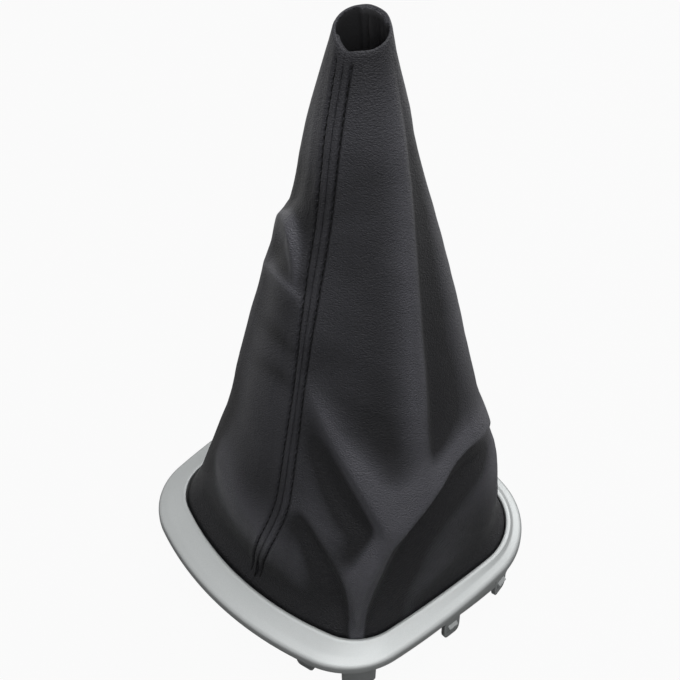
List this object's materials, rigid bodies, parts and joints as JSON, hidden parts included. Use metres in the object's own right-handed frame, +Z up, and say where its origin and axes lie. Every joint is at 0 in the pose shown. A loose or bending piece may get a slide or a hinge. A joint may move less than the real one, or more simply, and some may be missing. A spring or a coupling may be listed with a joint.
{
  "type": "gear lever gaiter",
  "caption": "Tapered leatherette boot with a stitched front seam and an open mouth, clamped in a silver console frame with snap tabs.",
  "frame": {"origin": "centre of the frame in plan, on the surface that the snap tabs stand on", "axes": "+Z up along the boot, +X from the seam that shows towards the rear, +Y across the frame"},
  "size_m": [0.1368, 0.1426, 0.2676],
  "materials": {
    "frame_plastic": "satin silver paint on moulded plastic",
    "ring_plastic": "plain moulded black",
    "leatherette": "fine pebble grain, soft sheen"
  },
  "bodies": {
    "root": {"bezel": "frame_plastic", "retainer_ring": "ring_plastic", "right_panel": "leatherette", "left_panel": "leatherette"}
  },
  "joints": []
}
